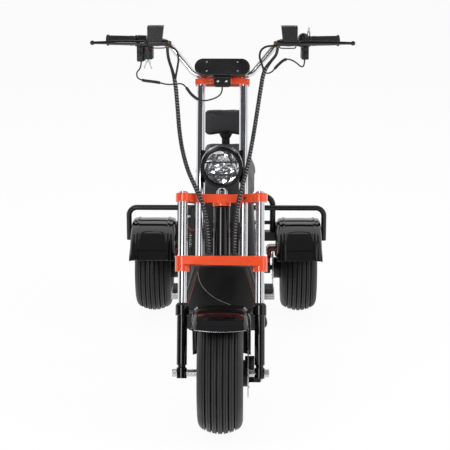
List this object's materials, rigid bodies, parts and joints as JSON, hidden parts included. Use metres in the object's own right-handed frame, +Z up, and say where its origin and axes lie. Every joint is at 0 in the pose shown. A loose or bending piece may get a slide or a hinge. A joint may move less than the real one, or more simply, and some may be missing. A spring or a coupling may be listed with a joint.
{
  "type": "three-wheeled electric scooter",
  "caption": "Three-wheeled electric scooter with a raked triple-clamp front fork, wide tyres, step-through body with seat and backrest, and a rear axle under fenders.",
  "frame": {"origin": "on the floor, under the middle of the scooter's length and width", "axes": "+Z up, -Y towards the nose, +X towards the rider's left"},
  "size_m": [0.9, 1.7087, 1.3002],
  "materials": {
    "orange_paint": "gloss orange paint",
    "chrome": "polished chrome",
    "black_paint": "gloss black paint",
    "satin_black": "satin black paint",
    "tyre": "dull black tyre rubber",
    "alloy": "machined and cast alloy",
    "steel": "brushed steel",
    "black_plastic": "grained black plastic",
    "gloss_plastic": "gloss black plastic",
    "rubber": "matte black rubber",
    "seat_leather": "dark grey grained leather",
    "lamp_glass": "clear lens",
    "red_paint": "gloss red paint",
    "red_lens": "red lamp lens",
    "cable": "black cable jacket"
  },
  "bodies": {
    "chassis": {"frame_spine": "satin_black", "front_cowl": "black_plastic", "foot_deck": "black_plastic", "foot_pedals": "alloy", "pedal_pads": "rubber", "body_box": "black_plastic", "seat": "seat_leather", "backrest": "seat_leather", "backrest_post": "satin_black", "rear_frame": "satin_black", "rear_axle": "satin_black", "trailing_arms": "satin_black", "rear_shocks": "steel", "rear_calipers": "red_paint", "rear_fender_left": "black_paint", "rear_fender_right": "black_paint", "grab_rail": "satin_black", "fender_rail": "satin_black", "tail_lamp": "red_lens"},
    "steering": {"front_axle": "steel", "fork_slider_left": "black_paint", "fork_slider_right": "black_paint", "fork_tube_left": "chrome", "fork_tube_right": "chrome", "riser_tube_left": "chrome", "riser_tube_right": "chrome", "lower_clamp": "orange_paint", "middle_clamp": "orange_paint", "top_clamp": "orange_paint", "steering_stem": "chrome", "front_fender": "black_paint", "front_caliper": "satin_black", "handlebar": "chrome", "bar_clamps": "alloy", "grips": "rubber", "brake_master_left": "black_paint", "brake_master_right": "black_paint", "brake_levers": "black_paint", "switch_pod_left": "black_plastic", "switch_pod_right": "black_plastic", "meter": "black_plastic", "headlamp_shell": "gloss_plastic", "headlamp_lens": "lamp_glass", "harness_left": "cable", "harness_right": "cable", "meter_lead": "cable", "switch_lead_left": "cable", "switch_lead_right": "cable"},
    "front_wheel": {"front_tyre": "tyre", "front_rim": "satin_black", "front_disc": "steel"},
    "rear_wheel_left": {"rear_tyre_left": "tyre", "rear_rim_left": "satin_black", "rear_disc_left": "steel"},
    "rear_wheel_right": {"rear_tyre_right": "tyre", "rear_rim_right": "satin_black", "rear_disc_right": "steel"}
  },
  "joints": [
    {"name": "steering_turn", "type": "hinge", "parent": "chassis", "child": "steering", "pos_m": [0, -0.44036, 0.63199], "axis": [0, 0.3584, 0.9336], "range_deg": [-35, 35]},
    {"name": "front_wheel_spin", "type": "hinge", "parent": "steering", "child": "front_wheel", "pos_m": [0, -0.65439, 0.2], "axis": [1, 0, 0], "continuous": true},
    {"name": "rear_wheel_left_spin", "type": "hinge", "parent": "chassis", "child": "rear_wheel_left", "pos_m": [0.301, 0.64561, 0.18], "axis": [1, 0, 0], "continuous": true},
    {"name": "rear_wheel_right_spin", "type": "hinge", "parent": "chassis", "child": "rear_wheel_right", "pos_m": [-0.301, 0.64561, 0.18], "axis": [1, 0, 0], "continuous": true}
  ]
}
